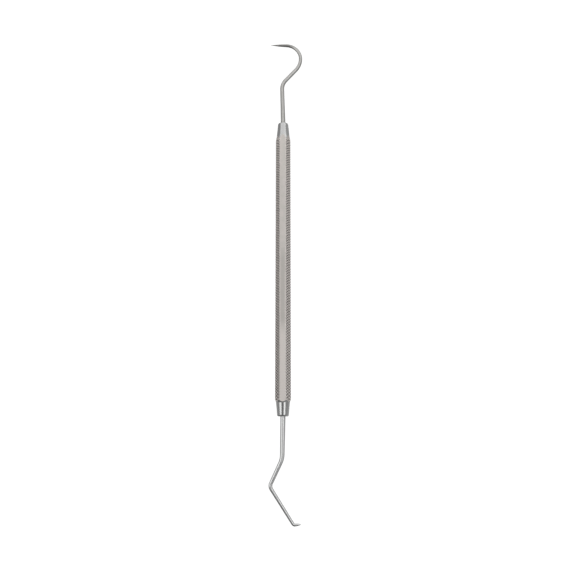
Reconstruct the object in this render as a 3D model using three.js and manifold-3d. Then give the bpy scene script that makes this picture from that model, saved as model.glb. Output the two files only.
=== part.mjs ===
// Double-ended dental hand instrument, about 178 mm long, lying on one flat of its handle.
//
// The handle is a hexagonal steel bar with a cone turned on each end. A blind hole is drilled in each
// end face, and the straight tang of a bent, tapered steel wire is pressed into it. One wire is a hook
// that ends in a needle point. The other is an angled shank that ends in a short tip pointing sideways.
//
// Units are millimetres. +Y runs along the handle towards the hook, +X is to the right in plan and +Z is
// up. The origin is the middle of the flat that the handle rests on.

import * as THREE from 'three';
import { mergeVertices } from 'three/addons/utils/BufferGeometryUtils.js';
import Module from 'manifold-3d';

// Handle bar
const HANDLE_LENGTH = 108.4;
const ACROSS_FLATS = 4.8;
const CORNER_RADIUS = 0.3;
const AXIS_HEIGHT = ACROSS_FLATS / 2;

// Cones turned on the bar: a slender nose from the end face, then a steeper shoulder out to the full bar.
// Both lengths are from the end face.
const EDGE_RADIUS = 0.42;
const HOOK_CONE = { endRadius: 1.93, noseLength: 5.2, noseRadius: 2.38, length: 6.9 };
const ANGLED_CONE = { endRadius: 1.97, noseLength: 4.95, noseRadius: 2.375, length: 5.5 };

// Tangs and the holes that they sit in
const SHANK_DIAMETER = 1.76;
const TANG_LENGTH = 9;
const TANG_CHAMFER = 0.3;
const TANG_CLEARANCE = 0.05;
const HOLE_DEPTH = 9.6;
const DRILL_POINT_ANGLE = 118;

// Bends of the two wires, in order from the tang. A turn is in degrees, positive to the right seen from
// above when looking along the wire, and its radius is that of the wire's centre line.
const HOOK_LEGS = [
  { straight: TANG_LENGTH },
  { turn: -1.5, radius: 12 },
  { straight: 14.3 },
  { turn: 43.7, radius: 5.3 },
  { straight: 5.8 },
  { turn: -44.4, radius: 7.1 },
  { turn: -84.8, radius: 5.9 },
  { straight: 6 },
];
const ANGLED_LEGS = [
  { straight: TANG_LENGTH },
  { turn: 1, radius: 12 },
  { straight: 12.35 },
  { turn: 24.6, radius: 6.9 },
  { straight: 7.1 },
  { turn: -59, radius: 2 },
  { straight: 13 },
  { turn: -62.6, radius: 0.8 },
  { straight: 1.95 },
];

// Diameters along each wire, as [developed length from the handle's end face, diameter]
const HOOK_TAPER = [
  [0, SHANK_DIAMETER],
  [7, 1.61],
  [13.5, 1.54],
  [23.5, 1.45],
  [29, 1.3],
  [38.8, 1.16],
  [41, 0.93],
  [42.8, 0.55],
  [44.6, 0.1],
];
const ANGLED_TAPER = [
  [0, SHANK_DIAMETER],
  [7, 1.67],
  [12, 1.59],
  [16, 1.44],
  [21.5, 1.37],
  [26.5, 1.19],
  [37.8, 1.03],
  [38.8, 0.92],
  [40.6, 0.3],
];

// Fineness of the faceted surfaces. Counts are facets, BEND_STEP is in degrees.
const ROUND_STEPS = 3;
const CORNER_STEPS = 2;
const LATHE_SIDES = 48;
const HOLE_SIDES = 24;
const WIRE_SIDES = 16;
const BEND_STEP = 5;
const SHORTEST_RING = 0.07;

// How far a cutting shape stands clear of the metal that it doesn't cut, and the distance below which
// two vertices are one
const CUT_CLEARANCE = 1;
const MERGE_DISTANCE = 1e-4;

const wasm = await Module();
wasm.setup();

// Materials

function steel(color, roughness) {
  return new THREE.MeshStandardMaterial({ color, roughness, metalness: 1 });
}

const satinSteel = steel(0xb9b4ae, 0.45);
const polishedSteel = steel(0xc4c4c2, 0.25);

// Conversion between three.js geometry and exact solids

function toSolid(geometry) {
  const bare = geometry.clone();
  bare.deleteAttribute('normal');
  bare.deleteAttribute('uv');
  const merged = mergeVertices(bare, MERGE_DISTANCE);
  return new wasm.Manifold(new wasm.Mesh({
    numProp: 3,
    vertProperties: new Float32Array(merged.attributes.position.array),
    triVerts: new Uint32Array(merged.index.array),
  }));
}

function toGeometry(solid) {
  const mesh = solid.getMesh();
  const geometry = new THREE.BufferGeometry();
  geometry.setAttribute('position', new THREE.BufferAttribute(mesh.vertProperties, 3));
  geometry.setIndex(new THREE.BufferAttribute(mesh.triVerts, 1));
  geometry.computeVertexNormals();
  return geometry;
}

// Handle

const cornerCentre = (ACROSS_FLATS / 2 - CORNER_RADIUS) / Math.cos(Math.PI / 6);
const cornerReach = cornerCentre + CORNER_RADIUS;

function hexagonalBar() {
  const section = new THREE.Shape();
  for (let corner = 0; corner < 6; corner += 1) {
    const angle = (corner * Math.PI) / 3;
    section.absarc(
      cornerCentre * Math.cos(angle),
      cornerCentre * Math.sin(angle),
      CORNER_RADIUS,
      angle - Math.PI / 6,
      angle + Math.PI / 6,
      false,
    );
  }
  const bar = new THREE.ExtrudeGeometry(section, {
    depth: HANDLE_LENGTH,
    bevelEnabled: false,
    curveSegments: CORNER_STEPS,
  });
  bar.translate(0, 0, -HANDLE_LENGTH / 2);
  bar.rotateX(-Math.PI / 2);
  return bar;
}

// Radius and distance from the end face, from the middle of the face out to the full bar
function coneOutline(cone) {
  const outline = [[0, 0]];
  for (let step = 0; step <= ROUND_STEPS; step += 1) {
    const angle = (step / ROUND_STEPS) * (Math.PI / 2);
    outline.push([
      cone.endRadius - EDGE_RADIUS + EDGE_RADIUS * Math.sin(angle),
      EDGE_RADIUS - EDGE_RADIUS * Math.cos(angle),
    ]);
  }
  outline.push([cone.noseRadius, cone.noseLength]);
  outline.push([cornerReach, cone.length]);
  outline.push([cornerReach + CUT_CLEARANCE, cone.length]);
  return outline;
}

// Everything that a lathe leaves of the bar: a cone at each end, and no cut between them
function turnedEnvelope() {
  const half = HANDLE_LENGTH / 2;
  const angledEnd = coneOutline(ANGLED_CONE).map(([radius, inset]) => [radius, inset - half]);
  const hookEnd = coneOutline(HOOK_CONE).map(([radius, inset]) => [radius, half - inset]);
  const outline = [...angledEnd, ...hookEnd.reverse()];
  return new THREE.LatheGeometry(outline.map(([radius, y]) => new THREE.Vector2(radius, y)), LATHE_SIDES);
}

// A drill entering the end face that looks along +Y, with its conical point inside the bar
function drill() {
  const radius = SHANK_DIAMETER / 2 + TANG_CLEARANCE;
  const pointHeight = radius / Math.tan(THREE.MathUtils.degToRad(DRILL_POINT_ANGLE / 2));
  const mouth = HANDLE_LENGTH / 2;
  const outline = [
    [0, mouth - HOLE_DEPTH - pointHeight],
    [radius, mouth - HOLE_DEPTH],
    [radius, mouth + CUT_CLEARANCE],
    [0, mouth + CUT_CLEARANCE],
  ];
  return new THREE.LatheGeometry(outline.map(([r, y]) => new THREE.Vector2(r, y)), HOLE_SIDES);
}

function makeHandle() {
  const bar = toSolid(hexagonalBar());
  const turned = bar.intersect(toSolid(turnedEnvelope()));
  const hookHole = toSolid(drill());
  const angledHole = toSolid(drill().rotateZ(Math.PI));
  const handle = new THREE.Mesh(toGeometry(turned.subtract(hookHole).subtract(angledHole)), satinSteel);
  handle.name = 'handle';
  handle.position.z = AXIS_HEIGHT;
  return handle;
}

// Wires

function legLength(leg) {
  return leg.straight ?? THREE.MathUtils.degToRad(Math.abs(leg.turn)) * leg.radius;
}

// Place and heading of the centre line at a developed length. The wire sets out from the origin along
// +Y, and its heading grows clockwise seen from above.
function stationOn(legs, length) {
  const place = new THREE.Vector2();
  let heading = 0;
  let rest = length;
  for (const leg of legs) {
    const run = Math.min(rest, legLength(leg));
    const turn = leg.straight ? 0 : (Math.sign(leg.turn) * run) / leg.radius;
    const chord = leg.straight ? run : 2 * leg.radius * Math.sin(Math.abs(turn) / 2);
    place.x += chord * Math.sin(heading + turn / 2);
    place.y += chord * Math.cos(heading + turn / 2);
    heading += turn;
    rest -= run;
  }
  return { place, heading };
}

function diameterAt(taper, length) {
  const after = taper.findIndex(([at]) => at >= length);
  const next = after < 0 ? taper.length - 1 : Math.max(1, after);
  const [fromLength, fromDiameter] = taper[next - 1];
  const [toLength, toDiameter] = taper[next];
  const share = THREE.MathUtils.clamp((length - fromLength) / (toLength - fromLength), 0, 1);
  return THREE.MathUtils.lerp(fromDiameter, toDiameter, share);
}

// Developed lengths at which the wire has a ring of facets: each change of taper, and every few
// degrees of each bend
function ringLengths(legs, taper) {
  const lengths = taper.slice(1, -1).map(([at]) => at + TANG_LENGTH);
  let start = 0;
  for (const leg of legs) {
    const rings = leg.straight ? 1 : Math.ceil(Math.abs(leg.turn) / BEND_STEP);
    for (let ring = 1; ring <= rings; ring += 1) {
      lengths.push(start + (legLength(leg) * ring) / rings);
    }
    start += legLength(leg);
  }
  lengths.sort((a, b) => a - b);
  const spaced = lengths.filter((at, index) => index === 0 || at - lengths[index - 1] > SHORTEST_RING);
  return spaced.filter((at) => at < start - SHORTEST_RING);
}

// A straight tapered rod with a chamfered tang and a rounded nose, then bent along its legs
function bentWire(legs, taper) {
  const total = legs.reduce((sum, leg) => sum + legLength(leg), 0);
  const tangRadius = SHANK_DIAMETER / 2;
  const noseRadius = taper.at(-1)[1] / 2;
  const outline = [[0, 0], [tangRadius - TANG_CHAMFER, 0], [tangRadius, TANG_CHAMFER]];
  for (const at of ringLengths(legs, taper)) {
    outline.push([diameterAt(taper, at - TANG_LENGTH) / 2, at]);
  }
  for (let step = 0; step < ROUND_STEPS; step += 1) {
    const angle = (step / ROUND_STEPS) * (Math.PI / 2);
    outline.push([noseRadius * Math.cos(angle), total - noseRadius * (1 - Math.sin(angle))]);
  }
  outline.push([0, total]);
  const wire = new THREE.LatheGeometry(outline.map(([r, y]) => new THREE.Vector2(r, y)), WIRE_SIDES);
  const points = wire.attributes.position;
  for (let index = 0; index < points.count; index += 1) {
    const { place, heading } = stationOn(legs, points.getY(index));
    const aside = points.getX(index);
    points.setX(index, place.x + aside * Math.cos(heading));
    points.setY(index, place.y - aside * Math.sin(heading));
  }
  wire.computeVertexNormals();
  return wire;
}

function makeHookEnd() {
  const hook = new THREE.Mesh(bentWire(HOOK_LEGS, HOOK_TAPER), polishedSteel);
  hook.name = 'hook_end';
  hook.position.set(0, HANDLE_LENGTH / 2 - TANG_LENGTH, AXIS_HEIGHT);
  return hook;
}

function makeAngledEnd() {
  const angled = new THREE.Mesh(bentWire(ANGLED_LEGS, ANGLED_TAPER), polishedSteel);
  angled.name = 'angled_end';
  angled.position.set(0, TANG_LENGTH - HANDLE_LENGTH / 2, AXIS_HEIGHT);
  angled.rotation.z = Math.PI;
  return angled;
}

const instrument = new THREE.Group();
instrument.add(makeHandle(), makeHookEnd(), makeAngledEnd());

export default instrument;
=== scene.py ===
"""Looks of a double-ended dental hand instrument: a knurled hexagonal handle and two bent steel wires.

Lengths are millimetres until a mesh is made, and the driving dimensions repeat those of the CAD part.
Lamps, camera, floor and shaders work in metres. +Y runs along the handle towards the hook, +X is to the
right in plan, +Z is up.
"""

import math

import bpy
import numpy as np
from mathutils import Matrix, Vector


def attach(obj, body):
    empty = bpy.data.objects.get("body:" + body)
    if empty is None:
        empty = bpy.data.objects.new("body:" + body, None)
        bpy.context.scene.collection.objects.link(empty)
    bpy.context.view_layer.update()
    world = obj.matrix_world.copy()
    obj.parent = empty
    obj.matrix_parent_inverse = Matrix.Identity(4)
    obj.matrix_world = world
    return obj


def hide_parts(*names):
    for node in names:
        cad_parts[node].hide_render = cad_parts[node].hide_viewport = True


MM = 0.001

# Handle bar: a hexagon with rounded corners, whose smooth flats face up and down
HANDLE_LENGTH = 108.4
HALF_LENGTH = HANDLE_LENGTH / 2
ACROSS_FLATS = 4.8
AXIS_HEIGHT = ACROSS_FLATS / 2
CORNER_RADIUS = 0.3
CORNER_TURN = math.pi / 3
CORNER_ARC = CORNER_RADIUS * CORNER_TURN
CORNER_CENTRE = (AXIS_HEIGHT - CORNER_RADIUS) / math.cos(CORNER_TURN / 2)
CORNER_REACH = CORNER_CENTRE + CORNER_RADIUS
FLAT_WIDTH = 2 * (AXIS_HEIGHT - CORNER_RADIUS) * math.tan(CORNER_TURN / 2)

# From the middle of a +X or -X corner, round the section, to where the smooth flat starts
SIDE_LENGTH = CORNER_ARC / 2 + FLAT_WIDTH + CORNER_ARC

# Cones turned on the bar: a slender nose, then a steeper shoulder that meets the flats
EDGE_RADIUS = 0.42
HOOK_CONE = {"end_radius": 1.93, "nose_length": 5.2, "nose_radius": 2.38, "length": 6.9, "blend": 0.6}
ANGLED_CONE = {"end_radius": 1.97, "nose_length": 4.95, "nose_radius": 2.375, "length": 5.5, "blend": 0.1}

# Blind hole in each end face, and the wire's tang in it
SHANK_DIAMETER = 1.76
TANG_LENGTH = 9
TANG_CHAMFER = 0.3
TANG_CLEARANCE = 0.05
HOLE_RADIUS = SHANK_DIAMETER / 2 + TANG_CLEARANCE
HOLE_DEPTH = 9.6
DRILL_POINT_ANGLE = 118

# Diamond knurl on the four side faces. A half diamond is one step across and one along.
KNURL_FROM = -48.6
KNURL_TO = 47.2
KNURL_PITCHES = 102
KNURL_DEPTH = 0.18
HALVES_ON_SIDE = 3
GROOVE_HALF_WIDTH = 0.75

# How clearly the knurl is marked at the smooth flat, and how deeply it bites on the +X and -X corners
MARK_AT_FLAT = 0.75
BITE_AT_CORNER = 0.15

# The last half diamonds at each end are stretched to meet the cones, at the hook's end by a limited length
STRETCHED_HALVES = 5
HOOK_END_STRETCH = 0.5
LEAST_GAP = 0.05

# Wires: legs in order from the tang, and diameters by developed length from the handle's end face. The
# hook's last leg is 0.01 shorter than in the CAD, and the angled end's longest leg is 0.06 shorter, so
# that these finer wires stay inside the box of the coarser CAD ones. WIRE_SHARE makes them thinner too.
HOOK_LEGS = [
    ("straight", TANG_LENGTH), ("turn", -1.5, 12), ("straight", 14.3), ("turn", 43.7, 5.3),
    ("straight", 5.8), ("turn", -44.4, 7.1), ("turn", -84.8, 5.9), ("straight", 5.99),
]
ANGLED_LEGS = [
    ("straight", TANG_LENGTH), ("turn", 1, 12), ("straight", 12.35), ("turn", 24.6, 6.9),
    ("straight", 7.1), ("turn", -59, 2), ("straight", 12.94), ("turn", -62.6, 0.8), ("straight", 1.95),
]
HOOK_TAPER = [
    (0, SHANK_DIAMETER), (7, 1.61), (13.5, 1.54), (23.5, 1.45), (29, 1.3), (38.8, 1.16),
    (41, 0.93), (42.8, 0.55), (44.6, 0.1),
]
ANGLED_TAPER = [
    (0, SHANK_DIAMETER), (7, 1.67), (12, 1.59), (16, 1.44), (21.5, 1.37), (26.5, 1.19),
    (37.8, 1.03), (38.8, 0.92), (40.6, 0.3),
]
TAPER_BLEND = 0.7
WIRE_SHARE = 0.99

# Fineness of the meshes
STEPS_PER_HALF = 4
FLAT_COLUMNS = 8
ROUND_STEPS = 5
CONE_STEPS = 16
OUTLINE_POINTS = 120
OUTLINE_SAMPLES = 9
TAPER_SAMPLES = 7
WIRE_SIDES = 32
STATION_SPACING = 0.4
BEND_STEP = 4


# ---------------------------------------------------------------- handle: section and outlines

def on_side(along):
    """Place and outward direction on the section's +X side, at a distance along it from its corner."""
    s = abs(along)
    flat_from = CORNER_ARC / 2
    flat_to = flat_from + FLAT_WIDTH
    if s <= flat_from:
        angle, centre, slide = s / CORNER_RADIUS, 0.0, 0.0
    elif s <= flat_to:
        angle, centre, slide = CORNER_TURN / 2, 0.0, s - flat_from
    else:
        angle, centre, slide = CORNER_TURN / 2 + (s - flat_to) / CORNER_RADIUS, CORNER_TURN, 0.0
    out = (math.cos(angle), math.sin(angle))
    x = CORNER_CENTRE * math.cos(centre) + CORNER_RADIUS * out[0] - slide * math.sin(CORNER_TURN / 2)
    z = CORNER_CENTRE * math.sin(centre) + CORNER_RADIUS * out[1] + slide * math.cos(CORNER_TURN / 2)
    up = math.copysign(1, along)
    return (x, z * up), (out[0], out[1] * up)


def knurl_weights(along):
    """How clearly the knurl is marked, fading at the smooth flat, and how deeply it bites, which is less
    over the +X and -X corners too."""
    marked = np.interp((SIDE_LENGTH - abs(along)) / CORNER_ARC, (0, 1), (MARK_AT_FLAT, 1))
    return marked, marked * np.interp(abs(along) / CORNER_ARC, (0, 2), (BITE_AT_CORNER, 1))


def section():
    """Columns of the handle's grid, round the bar from the upper end of its +X side: place, outward
    direction, knurl coordinate across, and the knurl's two weights."""
    steps = 2 * HALVES_ON_SIDE * STEPS_PER_HALF
    halves = np.linspace(HALVES_ON_SIDE, -HALVES_ON_SIDE, steps + 1)
    half_width = SIDE_LENGTH / HALVES_ON_SIDE
    right = []
    for a in halves:
        place, out = on_side(a * half_width)
        right.append((place, out, a, knurl_weights(a * half_width)))
    left = [((-p[0], p[1]), (-n[0], n[1]), a, w) for p, n, a, w in reversed(right)]
    reach = right[0][0][0]
    shares = np.linspace(1, -1, FLAT_COLUMNS + 1)[1:-1]
    bottom = [((reach * s, -AXIS_HEIGHT), (0, -1), 0.0, (0.0, 0.0)) for s in shares]
    top = [((-reach * s, AXIS_HEIGHT), (0, 1), 0.0, (0.0, 0.0)) for s in shares]
    columns = right + bottom + left + top
    return [np.array([c[i] for c in columns], float) for i in range(4)]


def knurl_cut(across, along):
    """Share of the knurl's full depth, and how near the place is to a crossing of two grooves."""
    near_a = np.abs((across - along + 1) % 2 - 1)
    near_b = np.abs((across + along + 1) % 2 - 1)
    groove = np.clip(1 - np.minimum(near_a, near_b) / GROOVE_HALF_WIDTH, 0, 1)
    crossing = np.clip(1 - near_a, 0, 1) * np.clip(1 - near_b, 0, 1)
    return groove, crossing


def cone_outline(cone):
    """Insets from the end face and radii of a cone, with the turn between nose and shoulder softened."""
    insets = np.linspace(EDGE_RADIUS, cone["length"], OUTLINE_POINTS)
    near = np.minimum(insets - EDGE_RADIUS, cone["length"] - insets)
    spread = np.minimum(cone["blend"], near)[:, None] * np.linspace(-1, 1, OUTLINE_SAMPLES)[None, :]
    at = (EDGE_RADIUS, cone["nose_length"], cone["length"])
    radius = (cone["end_radius"], cone["nose_radius"], CORNER_REACH)
    return insets, np.interp(insets[:, None] + spread, at, radius).mean(1)


def room_beyond(cone, place, knurl_end):
    """Length left between the knurl's end and the edge of a cone, for each column of the grid."""
    insets, radii = cone_outline(cone)
    edge = HALF_LENGTH - np.interp(np.hypot(place[:, 0], place[:, 1]), radii, insets)
    return np.maximum(0.0, edge - LEAST_GAP - knurl_end)


# ---------------------------------------------------------------- handle: rows of the grid

def end_rows(cone, place, sign):
    """Rows from the bottom of the blind hole out over the end face and up the cone to the bar's flats."""
    reach = np.hypot(place[:, 0], place[:, 1])
    outward = place / reach[:, None]
    rows = []

    def ring(radius, inset, zone):
        y = sign * (HALF_LENGTH - inset) * np.ones(len(place))
        rows.append((np.column_stack([outward[:, 0] * radius, y, outward[:, 1] * radius]), zone))

    ring(HOLE_RADIUS, HOLE_DEPTH, "hole")
    ring(HOLE_RADIUS, 0.0, "end_face")
    for angle in np.linspace(0, math.pi / 2, ROUND_STEPS + 1):
        radius = cone["end_radius"] - EDGE_RADIUS * (1 - math.sin(angle))
        ring(radius, EDGE_RADIUS * (1 - math.cos(angle)), "cone")
    insets, radii = cone_outline(cone)
    full = np.interp(reach, radii, insets)
    for step in range(1, CONE_STEPS + 1):
        inset = EDGE_RADIUS + (full - EDGE_RADIUS) * step / CONE_STEPS
        ring(np.interp(inset, insets, radii), inset, "flat" if step == CONE_STEPS else "cone")
    return rows


def knurl_rows(place, out, across, weights):
    """Rows along the knurl, which comes to its full depth over its first and last quarter diamond."""
    marked, bite = weights[:, 0], weights[:, 1]
    to_hook = np.minimum(room_beyond(HOOK_CONE, place, KNURL_TO), HOOK_END_STRETCH) * (marked > 0)
    to_angled = room_beyond(ANGLED_CONE, place, -KNURL_FROM) * (marked > 0)
    halves = KNURL_PITCHES * 2
    rows = []
    for step in range(halves * STEPS_PER_HALF + 1):
        along = step / STEPS_PER_HALF
        ramp = min(1.0, 2 * along, 2 * (halves - along))
        groove, crossing = knurl_cut(across, along)
        y = KNURL_TO + (KNURL_FROM - KNURL_TO) * along / halves
        y = y + to_hook * max(0.0, 1 - along / STRETCHED_HALVES)
        y = y - to_angled * max(0.0, 1 - (halves - along) / STRETCHED_HALVES)
        inner = place - out * (KNURL_DEPTH * ramp * groove * bite)[:, None]
        xyz = np.column_stack([inner[:, 0], y, inner[:, 1]])
        zone = "knurl" if along < halves else "flat"
        rows.append((xyz, zone, ramp * groove * marked, ramp * crossing * marked))
    return rows


def handle_rows(place, out, across, weights):
    """All rows of the handle from the hook's hole to the other hole, each with the zone that follows it,
    and how deep the knurl's grooves and crossings are at each place."""
    blank = np.zeros(len(place))
    rows = [(xyz, zone, blank, blank) for xyz, zone in end_rows(HOOK_CONE, place, 1)]
    rows += knurl_rows(place, out, across, weights)
    far = end_rows(ANGLED_CONE, place, -1)
    for index in range(len(far) - 1, -1, -1):
        zone = far[index - 1][1] if index else "hole"
        rows.append((far[index][0], zone, blank, blank))
    return rows


# ---------------------------------------------------------------- handle: mesh

ZONES = ["flat", "knurl", "cone", "end_face", "hole"]


def knurl_faces(corners, half_across, half_along):
    """Two triangles, split in the direction of the groove that crosses this half diamond."""
    a, b, c, d = corners
    if (half_across + half_along) % 2:
        return [(a, c, d), (a, b, c)]
    return [(a, b, d), (d, b, c)]


def handle_faces(zone_of_row, across, knurled_strips):
    """Faces of the grid, facing outwards, with the zone of each. A fan closes the bottom of each hole."""
    count = len(across)
    hook_pole = len(zone_of_row) * count
    angled_pole = hook_pole + 1
    faces = [(hook_pole, c, (c + 1) % count) for c in range(count)]
    zones = ["hole"] * count
    first_knurl_row = zone_of_row.index("knurl")
    for r, zone in enumerate(zone_of_row[:-1]):
        half_along = (r - first_knurl_row) // STEPS_PER_HALF
        for c in range(count):
            n = (c + 1) % count
            corners = (r * count + c, (r + 1) * count + c, (r + 1) * count + n, r * count + n)
            if zone == "knurl" and knurled_strips[c]:
                half_across = math.floor((across[c] + across[n]) / 2)
                faces += knurl_faces(corners, half_across, half_along)
                zones += ["knurl", "knurl"]
            else:
                faces.append(corners)
                zones.append("flat" if zone == "knurl" else zone)
    last = (len(zone_of_row) - 1) * count
    faces += [(last + (c + 1) % count, last + c, angled_pole) for c in range(count)]
    zones += ["hole"] * count
    return faces, zones


def handle_mesh(materials):
    """The handle as one closed grid: a hexagonal bar with knurled side faces, turned ends and two holes."""
    place, out, across, weights = section()
    rows = handle_rows(place, out, across, weights)
    marked = weights[:, 0] > 0
    knurled_strips = marked | np.roll(marked, -1)
    faces, zones = handle_faces([row[1] for row in rows], across, knurled_strips)
    point = HALF_LENGTH - HOLE_DEPTH - HOLE_RADIUS / math.tan(math.radians(DRILL_POINT_ANGLE / 2))
    vertices = np.concatenate([row[0] for row in rows] + [[[0, point, 0], [0, -point, 0]]])
    vertices[:, 2] += AXIS_HEIGHT

    piece = make_piece("handle_knurled", vertices, faces, [ZONES.index(z) for z in zones], materials)
    piece.data.polygons.foreach_set("use_smooth", [z in ("cone", "hole") for z in zones])
    # The knurled material paints shade from these shares: in the grooves, and darker where they cross
    for name, column in (("groove", 2), ("crossing", 3)):
        add_attribute(piece.data, name, np.concatenate([row[column] for row in rows] + [[0.0, 0.0]]))
    return piece


# ---------------------------------------------------------------- wires

def leg_length(leg):
    return leg[1] if leg[0] == "straight" else math.radians(abs(leg[1])) * leg[2]


def station_on(legs, length):
    """Place and heading of the centre line at a developed length, setting out from the origin along +Y."""
    x, y, heading, rest = 0.0, 0.0, 0.0, length
    for leg in legs:
        run = min(rest, leg_length(leg))
        turn = 0.0 if leg[0] == "straight" else math.copysign(run / leg[2], leg[1])
        chord = run if leg[0] == "straight" else 2 * leg[2] * math.sin(abs(turn) / 2)
        x += chord * math.sin(heading + turn / 2)
        y += chord * math.cos(heading + turn / 2)
        heading += turn
        rest -= run
    return x, y, heading


def radius_at(taper, length):
    """The taper's radius, with its changes of slope blended over a short length."""
    spread = np.linspace(-TAPER_BLEND, TAPER_BLEND, TAPER_SAMPLES)
    at, diameter = zip(*taper)
    return float(np.mean(np.interp(length + spread, at, diameter))) / 2 * WIRE_SHARE


def stations(legs):
    """Developed lengths of the rings, closely spaced and closer still round the bends, and the total."""
    lengths, start = [], 0.0
    for leg in legs:
        length = leg_length(leg)
        fewest = math.ceil(length / STATION_SPACING)
        turns = 0 if leg[0] == "straight" else math.ceil(abs(leg[1]) / BEND_STEP)
        count = max(fewest, turns)
        lengths += [start + length * step / count for step in range(count)]
        start += length
    return lengths[1:], start


def wire_outline(legs, taper):
    """Radii and developed lengths of the rings, from the tang's chamfer to the rounded nose."""
    lengths, total = stations(legs)
    nose = taper[-1][1] / 2
    outline = [(SHANK_DIAMETER / 2 - TANG_CHAMFER, 0.0), (SHANK_DIAMETER / 2, TANG_CHAMFER)]
    for at in lengths:
        if TANG_CHAMFER < at < total - nose - LEAST_GAP:
            tang = at <= TANG_LENGTH
            outline.append((SHANK_DIAMETER / 2 if tang else radius_at(taper, at - TANG_LENGTH), at))
    for angle in np.linspace(0, math.pi / 2, ROUND_STEPS + 1)[:-1]:
        outline.append((nose * math.cos(angle), total - nose * (1 - math.sin(angle))))
    return outline, total


def wire_ring(legs, radius, at):
    """Points of one ring, square to the centre line."""
    around = np.arange(WIRE_SIDES) / WIRE_SIDES * 2 * math.pi
    x, y, heading = station_on(legs, at)
    aside = radius * np.cos(around)
    return np.column_stack([
        x + aside * math.cos(heading), y - aside * math.sin(heading), radius * np.sin(around),
    ])


def wire_faces(rows):
    """Faces between the rings of a closed wire, and a fan at each end."""
    count = WIRE_SIDES
    faces = []
    for r in range(rows - 1):
        for c in range(count):
            n = (c + 1) % count
            faces.append((r * count + c, (r + 1) * count + c, (r + 1) * count + n, r * count + n))
    start, tip = rows * count, rows * count + 1
    for c in range(count):
        n = (c + 1) % count
        faces.append((start, c, n))
        faces.append((tip, (rows - 1) * count + n, (rows - 1) * count + c))
    return faces


def wire_mesh(name, legs, taper, turned_round, materials):
    """A bent tapered wire with a chamfered tang and a rounded nose, at the hook's end of the handle or,
    turned round, at the other."""
    outline, total = wire_outline(legs, taper)
    rings = [wire_ring(legs, radius, at) for radius, at in outline]
    poles = [[*station_on(legs, at)[:2], 0.0] for at in (0.0, total)]
    vertices = np.concatenate(rings + [np.array(poles)])
    vertices[:, 1] += HALF_LENGTH - TANG_LENGTH
    if turned_round:
        vertices[:, :2] *= -1
    vertices[:, 2] += AXIS_HEIGHT

    faces = wire_faces(len(rings))
    piece = make_piece(name, vertices, faces, [0] * len(faces), materials)
    piece.data.polygons.foreach_set("use_smooth", [True] * len(faces))
    run = np.repeat([at for _, at in outline], WIRE_SIDES)
    add_attribute(piece.data, "run", np.concatenate([run, [0.0, total]]))
    return piece


# ---------------------------------------------------------------- objects

def make_piece(name, vertices, faces, material_indices, materials):
    """An object made from millimetre vertices, with a material index for each face."""
    mesh = bpy.data.meshes.new(name)
    mesh.from_pydata((np.asarray(vertices) * MM).tolist(), [], faces)
    for material in materials:
        mesh.materials.append(material)
    mesh.polygons.foreach_set("material_index", material_indices)
    mesh.validate()
    mesh.update()
    piece = bpy.data.objects.new(name, mesh)
    bpy.context.scene.collection.objects.link(piece)
    return piece


def add_attribute(mesh, name, values):
    attribute = mesh.attributes.new(name, "FLOAT", "POINT")
    attribute.data.foreach_set("value", np.asarray(values, np.float32))


# ---------------------------------------------------------------- materials

class Nodes:
    """A material's node tree, with short calls for the nodes that the steels share."""

    def __init__(self, name, **constants):
        self.material = bpy.data.materials.new(name)
        self.material.use_nodes = True
        self.tree = self.material.node_tree
        self.shader = self.tree.nodes["Principled BSDF"]
        for socket, value in constants.items():
            self.shader.inputs[socket.replace("_", " ")].default_value = value

    def link(self, value, socket):
        if isinstance(value, bpy.types.NodeSocket):
            self.tree.links.new(value, socket)
        else:
            socket.default_value = value

    def place(self):
        return self.tree.nodes.new("ShaderNodeTexCoord").outputs["Object"]

    def attribute(self, name):
        node = self.tree.nodes.new("ShaderNodeAttribute")
        node.attribute_name = name
        return node.outputs["Fac"]

    def stretched(self, vector, scale):
        node = self.tree.nodes.new("ShaderNodeVectorMath")
        node.operation = "MULTIPLY"
        self.link(vector, node.inputs[0])
        node.inputs[1].default_value = scale
        return node.outputs[0]

    def noise(self, vector, scale, detail=3.0, roughness=0.5):
        node = self.tree.nodes.new("ShaderNodeTexNoise")
        self.link(vector, node.inputs["Vector"])
        node.inputs["Scale"].default_value = scale
        node.inputs["Detail"].default_value = detail
        node.inputs["Roughness"].default_value = roughness
        return node.outputs["Fac"]

    def math(self, operation, first, second=0.0):
        node = self.tree.nodes.new("ShaderNodeMath")
        node.operation = operation
        self.link(first, node.inputs[0])
        self.link(second, node.inputs[1])
        return node.outputs[0]

    def ramp(self, value, low, high, out_low, out_high):
        node = self.tree.nodes.new("ShaderNodeMapRange")
        node.interpolation_type = "SMOOTHSTEP"
        for socket, given in zip(node.inputs, (value, low, high, out_low, out_high)):
            self.link(given, socket)
        return node.outputs[0]

    def split(self, vector):
        node = self.tree.nodes.new("ShaderNodeSeparateXYZ")
        self.link(vector, node.inputs[0])
        return node.outputs

    def combine(self, x, y, z):
        node = self.tree.nodes.new("ShaderNodeCombineXYZ")
        for value, socket in zip((x, y, z), node.inputs):
            self.link(value, socket)
        return node.outputs[0]

    def mix(self, share, first, second):
        node = self.tree.nodes.new("ShaderNodeMix")
        node.data_type = "RGBA"
        self.link(share, node.inputs[0])
        self.link(first, node.inputs[6])
        self.link(second, node.inputs[7])
        return node.outputs[2]

    def bump(self, height, distance, strength):
        node = self.tree.nodes.new("ShaderNodeBump")
        node.inputs["Strength"].default_value = strength
        node.inputs["Distance"].default_value = distance
        self.link(height, node.inputs["Height"])
        self.link(node.outputs[0], self.shader.inputs["Normal"])

    def finish(self, colour, roughness):
        self.link(colour, self.shader.inputs["Base Color"])
        self.link(roughness, self.shader.inputs["Roughness"])
        return self.material


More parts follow.
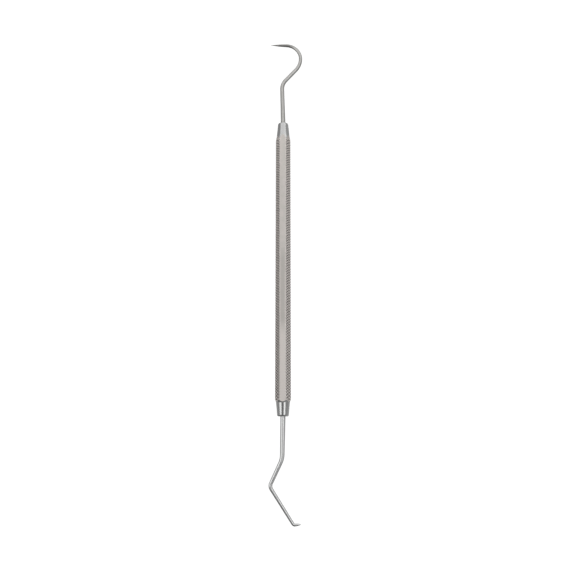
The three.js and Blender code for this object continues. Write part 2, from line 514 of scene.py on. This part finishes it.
def grey(level, tint=(1.0, 1.0, 1.0)):
    return (level * tint[0], level * tint[1], level * tint[2], 1.0)


# Tints of the steels, and how much of the usual mirror brightness is left at grazing angles
WARM = (1.03, 0.985, 0.925)
PINKISH = (1.045, 0.98, 0.935)
YELLOWISH = (1.015, 1.0, 0.965)
NEUTRAL = (0.995, 1.0, 0.995)
EDGE_TINT = grey(0.35)

# The darker stretch of the smooth flats: along the handle from the hook's side, and off its middle line
DARKER_STRETCH_STARTS = (9 * MM, 0.0)
DARKER_STRETCH_ENDS = (-20 * MM, -27 * MM)
DARKER_STRETCH_EDGE = (0.4 * MM, 1.1 * MM)

# Painted light: the steel is painted lighter between these places along the handle, towards the angled end
LIGHTER_BETWEEN = (30 * MM, -50 * MM)

# Painted shade: the knurl is painted darker between these heights off the axis, where it meets the smooth
# flats
KNURL_SHADE_HEIGHTS = (2.1 * MM, 2.4 * MM)


def satin_flat():
    """Sanded flats: fine grain along the handle, a little mottling, a darker stretch in the middle, and
    painted light that makes the steel lighter towards the angled end."""
    n = Nodes("satin_flat", Metallic=1.0, Specular_Tint=EDGE_TINT)
    place = n.place()
    across, along, _ = n.split(place)
    off_middle = n.math("ABSOLUTE", across)
    grain = n.noise(n.stretched(place, (9000.0, 200.0, 9000.0)), 1.0)
    mottle = n.noise(place, 420.0, roughness=0.55)
    base = n.mix(n.ramp(mottle, 0.35, 0.65, 0.0, 1.0), grey(0.61, WARM), grey(0.65, PINKISH))
    # Painted light: the flats are painted lighter towards the angled end
    lighter = n.mix(n.ramp(along, *LIGHTER_BETWEEN, 0.0, 1.0), base, grey(0.8, PINKISH))
    # The flats' colour is darker along their middle over a stretch of the handle
    stretch = n.math("MULTIPLY", n.ramp(along, *DARKER_STRETCH_STARTS, 0.0, 1.0), n.ramp(along, *DARKER_STRETCH_ENDS, 1.0, 0.0))
    darker_stretch = n.math("MULTIPLY", stretch, n.ramp(off_middle, *DARKER_STRETCH_EDGE, 0.65, 0.15))
    with_darker_stretch = n.mix(darker_stretch, lighter, grey(0.48, WARM))
    lined = n.mix(n.ramp(grain, 0.3, 0.7, 0.0, 0.12), with_darker_stretch, grey(0.7, WARM))
    n.bump(grain, 0.01 * MM, 0.4)
    return n.finish(lined, n.ramp(grain, 0.25, 0.75, 0.48, 0.54))


def knurled():
    """Knurled faces: bright diamonds, painted shade near the flats, in the grooves, darker where they
    cross.
    """
    n = Nodes("knurled_steel", Metallic=1.0, Specular_Tint=EDGE_TINT)
    place = n.place()
    groove, crossing = n.attribute("groove"), n.attribute("crossing")
    wear = n.noise(place, 700.0, roughness=0.6)
    grain = n.noise(place, 9000.0, roughness=0.6)
    off_axis = n.math("ABSOLUTE", n.math("SUBTRACT", n.split(place)[2], AXIS_HEIGHT * MM))
    side = n.mix(n.ramp(wear, 0.35, 0.65, 0.0, 1.0), grey(0.8, PINKISH), grey(0.92, PINKISH))
    # Painted shade: the knurl is painted darker where it comes to the smooth flats
    with_edge_shade = n.mix(n.ramp(off_axis, *KNURL_SHADE_HEIGHTS, 0.0, 1.0), side, grey(0.64, PINKISH))
    # Painted shade: darker steel in the grooves, and much darker where two grooves cross
    with_groove_shade = n.mix(n.ramp(groove, 0.15, 0.85, 0.0, 1.0), with_edge_shade, grey(0.5, PINKISH))
    with_pit_shade = n.mix(n.ramp(crossing, 0.25, 0.7, 0.0, 1.0), with_groove_shade, grey(0.08, PINKISH))
    n.bump(grain, 0.02 * MM, 0.3)
    return n.finish(with_pit_shade, n.ramp(groove, 0.0, 1.0, 0.35, 0.6))


def turned(name, level, roughness):
    """Turned and polished steel, with faint rings from the lathe."""
    n = Nodes(name, Metallic=1.0, Specular_Tint=EDGE_TINT)
    place = n.place()
    rings = n.noise(n.stretched(place, (300.0, 9000.0, 300.0)), 1.0, roughness=0.6)
    haze = n.noise(place, 300.0, detail=1.0)
    base = n.mix(n.ramp(haze, 0.3, 0.7, 0.0, 1.0), grey(level, NEUTRAL), grey(level * 1.06, NEUTRAL))
    lined = n.mix(n.ramp(rings, 0.3, 0.7, 0.0, 0.06), base, grey(level * 0.88, NEUTRAL))
    n.bump(rings, 0.001 * MM, 0.1)
    return n.finish(lined, n.ramp(rings, 0.3, 0.7, roughness, roughness + 0.03))


def drilled():
    """Inside of the blind holes: coarse drilled steel, painted dark as the shade inside a hole."""
    n = Nodes("drilled_steel_painted_shade", Metallic=1.0)
    marks = n.noise(n.stretched(n.place(), (500.0, 5000.0, 500.0)), 1.0, roughness=0.6)
    # Painted shade: the hole's steel is set very dark, as shade inside the hole
    base = n.mix(marks, grey(0.10, WARM), grey(0.18, WARM))
    n.bump(marks, 0.02 * MM, 0.5)
    return n.finish(base, n.ramp(marks, 0.3, 0.7, 0.5, 0.65))


def drawn_wire(name, level, tint, roughness):
    """Drawn and polished wire: fine lines along it and a faint haze."""
    n = Nodes(name, Metallic=1.0, Specular_Tint=EDGE_TINT)
    place = n.place()
    height = n.math("MULTIPLY", n.split(place)[2], 14000.0)
    along = n.math("MULTIPLY", n.attribute("run"), 0.25)
    lines = n.noise(n.combine(along, height, 0.0), 1.0)
    haze = n.noise(place, 500.0, detail=2.0)
    base = n.mix(n.ramp(haze, 0.3, 0.7, 0.0, 1.0), grey(level, tint), grey(level * 1.05, tint))
    lined = n.mix(n.ramp(lines, 0.3, 0.7, 0.0, 0.2), base, grey(level * 0.88, tint))
    n.bump(lines, 0.004 * MM, 0.15)
    return n.finish(lined, n.ramp(haze, 0.3, 0.7, roughness, roughness + 0.05))


# ---------------------------------------------------------------- camera

CAMERA_TARGET = Vector((0.7, -8.3, 2.4)) * MM
CAMERA_DISTANCE = 226 * MM
CAMERA_TILT = math.radians(12.844)
CAMERA_SWING = math.radians(2.5)


def looking_back_along(away, target, distance):
    """Matrix of a camera or lamp that faces target from a distance, with +Y as its upward side."""
    right = Vector((0, 1, 0)).cross(away).normalized()
    up = away.cross(right)
    turned_axes = Matrix((right, up, away)).transposed()
    return Matrix.Translation(target + away * distance) @ turned_axes.to_4x4()


def make_camera():
    """A 40 mm lens looking down on the instrument, with +Y up the picture."""
    data = bpy.data.cameras.new("camera")
    data.lens, data.sensor_width = 40.0, 36.0
    data.clip_start, data.clip_end = 0.01, 10.0
    camera = bpy.data.objects.new("camera", data)
    away = Vector((
        math.sin(CAMERA_SWING) * math.cos(CAMERA_TILT),
        -math.sin(CAMERA_TILT),
        math.cos(CAMERA_SWING) * math.cos(CAMERA_TILT),
    ))
    camera.matrix_world = looking_back_along(away, CAMERA_TARGET, CAMERA_DISTANCE)
    bpy.context.scene.collection.objects.link(camera)
    bpy.context.scene.camera = camera


# ---------------------------------------------------------------- light and floor

LAMP_DISTANCE = 600 * MM

# Brightness of the room by the direction's height, and its share by how far the direction points along
# DEPTH_AXIS, each from -1 to 1
ROOM_BY_HEIGHT = ((-1, 0.7), (-0.4, 0.65), (-0.16, 0.4), (0.36, 0.42), (1, 0.24))
ROOM_BY_DEPTH = ((-0.74, 0.4), (-0.46, 1), (0.6, 1), (1, 1.5))
DEPTH_AXIS = (0.36, 0.93, 0)
BACKDROP_LEVEL = 0.95

FLOOR_HALF = 3.0
FLOOR_BASE = 0.22
FLOOR_GLOW = 0.93


def softbox(name, side, back, size, brightness):
    """A rectangular soft lamp aimed at the handle. side and back are degrees from straight up, towards
    +X and +Y, and size is in degrees seen from the handle. Brightness 1 is white in a mirror."""
    width, length = (2 * LAMP_DISTANCE * math.tan(math.radians(angle / 2)) for angle in size)
    data = bpy.data.lights.new(name, "AREA")
    data.shape, data.size, data.size_y = "RECTANGLE", width, length
    data.energy = brightness * math.pi * width * length
    light = bpy.data.objects.new(name, data)
    a, b = math.radians(side), math.radians(back)
    away = Vector((math.sin(a) * math.cos(b), math.sin(b), math.cos(a) * math.cos(b)))
    light.matrix_world = looking_back_along(away, Vector((0, 0, 0)), LAMP_DISTANCE)
    light.visible_camera = False
    bpy.context.scene.collection.objects.link(light)


def level_along(nodes, links, component, levels):
    """Straight-line interpolation of a level between stops along one component of a direction."""
    total = levels[0][1]
    for (start, low), (end, high) in zip(levels, levels[1:]):
        step = nodes.new("ShaderNodeMapRange")
        links.new(component, step.inputs["Value"])
        limits = {"From Min": start, "From Max": end, "To Min": 0.0, "To Max": high - low}
        for socket, value in limits.items():
            step.inputs[socket].default_value = value
        sum_so_far = nodes.new("ShaderNodeMath")
        links.new(step.outputs[0], sum_so_far.inputs[0])
        if isinstance(total, bpy.types.NodeSocket):
            links.new(total, sum_so_far.inputs[1])
        else:
            sum_so_far.inputs[1].default_value = total
        total = sum_so_far.outputs[0]
    return total


def make_room():
    """A room that is pale below table height and dimmer above it, darker towards -Y and lighter towards
    +Y. It lights the steel, and the camera sees a plain pale backdrop in its place."""
    world = bpy.data.worlds.new("studio")
    bpy.context.scene.world = world
    world.use_nodes = True
    nodes, links = world.node_tree.nodes, world.node_tree.links
    axes = nodes.new("ShaderNodeSeparateXYZ")
    direction = nodes.new("ShaderNodeTexCoord").outputs["Generated"]
    links.new(direction, axes.inputs[0])
    towards_back = nodes.new("ShaderNodeVectorMath")
    towards_back.operation = "DOT_PRODUCT"
    towards_back.inputs[1].default_value = DEPTH_AXIS
    links.new(direction, towards_back.inputs[0])
    by_height = level_along(nodes, links, axes.outputs["Z"], ROOM_BY_HEIGHT)
    by_depth = level_along(nodes, links, towards_back.outputs["Value"], ROOM_BY_DEPTH)
    links.new(by_height, nodes["Background"].inputs["Color"])
    links.new(by_depth, nodes["Background"].inputs["Strength"])
    backdrop = nodes.new("ShaderNodeBackground")
    backdrop.inputs["Color"].default_value = grey(BACKDROP_LEVEL)
    seen = nodes.new("ShaderNodeMixShader")
    links.new(nodes.new("ShaderNodeLightPath").outputs["Is Camera Ray"], seen.inputs[0])
    links.new(nodes["Background"].outputs[0], seen.inputs[1])
    links.new(backdrop.outputs[0], seen.inputs[2])
    links.new(seen.outputs[0], nodes["World Output"].inputs["Surface"])


def make_light():
    """Two softboxes with a gap between them overhead, a wide one behind, and the room."""
    softbox("left_box", -42, 4, (36, 40), 1.56)
    softbox("right_box", 31, 3, (30, 42), 1.51)
    softbox("back_box", 2, 54, (82, 52), 0.8)
    make_room()
    bpy.context.scene.view_settings.view_transform = "Standard"
    # With its guide pictures filtered first, the denoiser wipes out the knurl
    bpy.context.scene.cycles.denoising_prefilter = "NONE"


def make_floor():
    """A wide white table, lit from within enough to hide the shadow. Steel shows the room's pale lower
    half in its place, so that the table doesn't wash out the edges of round surfaces."""
    mesh = bpy.data.meshes.new("floor")
    corners = [(x * FLOOR_HALF, y * FLOOR_HALF, 0) for x, y in ((-1, -1), (1, -1), (1, 1), (-1, 1))]
    mesh.from_pydata(corners, [], [(0, 1, 2, 3)])
    floor = bpy.data.objects.new("floor", mesh)
    n = Nodes("white_table", Roughness=0.9, Base_Color=grey(FLOOR_BASE), Emission_Strength=FLOOR_GLOW)
    n.shader.inputs["Emission Color"].default_value = grey(1.0)
    mesh.materials.append(n.material)
    floor.visible_glossy = False
    bpy.context.scene.collection.objects.link(floor)


# ---------------------------------------------------------------- assembly

def make_handle():
    """The handle, with one material for each of ZONES."""
    return handle_mesh([
        satin_flat(),
        knurled(),
        turned("turned_steel", 0.5, 0.19),
        turned("faced_steel", 0.4, 0.3),
        drilled(),
    ])


def make_hook():
    # Painted shade: the same drawn steel as the angled end's wire, set darker here
    steel = drawn_wire("hook_steel_painted_darker", 0.455, YELLOWISH, 0.29)
    return wire_mesh("hook_wire", HOOK_LEGS, HOOK_TAPER, False, [steel])


def make_angled():
    # Painted light: the same drawn steel as the hook's wire, set lighter here
    steel = drawn_wire("angled_steel_painted_lighter", 0.64, NEUTRAL, 0.29)
    return wire_mesh("angled_wire", ANGLED_LEGS, ANGLED_TAPER, True, [steel])


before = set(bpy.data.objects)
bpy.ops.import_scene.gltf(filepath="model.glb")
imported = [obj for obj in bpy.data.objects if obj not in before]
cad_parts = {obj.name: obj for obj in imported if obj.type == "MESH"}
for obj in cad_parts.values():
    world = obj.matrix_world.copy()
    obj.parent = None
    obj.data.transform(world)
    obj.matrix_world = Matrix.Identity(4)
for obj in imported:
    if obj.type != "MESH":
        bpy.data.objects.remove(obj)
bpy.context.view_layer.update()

make_camera()
make_light()
make_floor()

for piece, node, slot in (
    (make_handle(), "handle", "handle_steel"),
    (make_hook(), "hook_end", "working_end_steel"),
    (make_angled(), "angled_end", "working_end_steel"),
):
    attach(piece, "root")
    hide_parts(node)
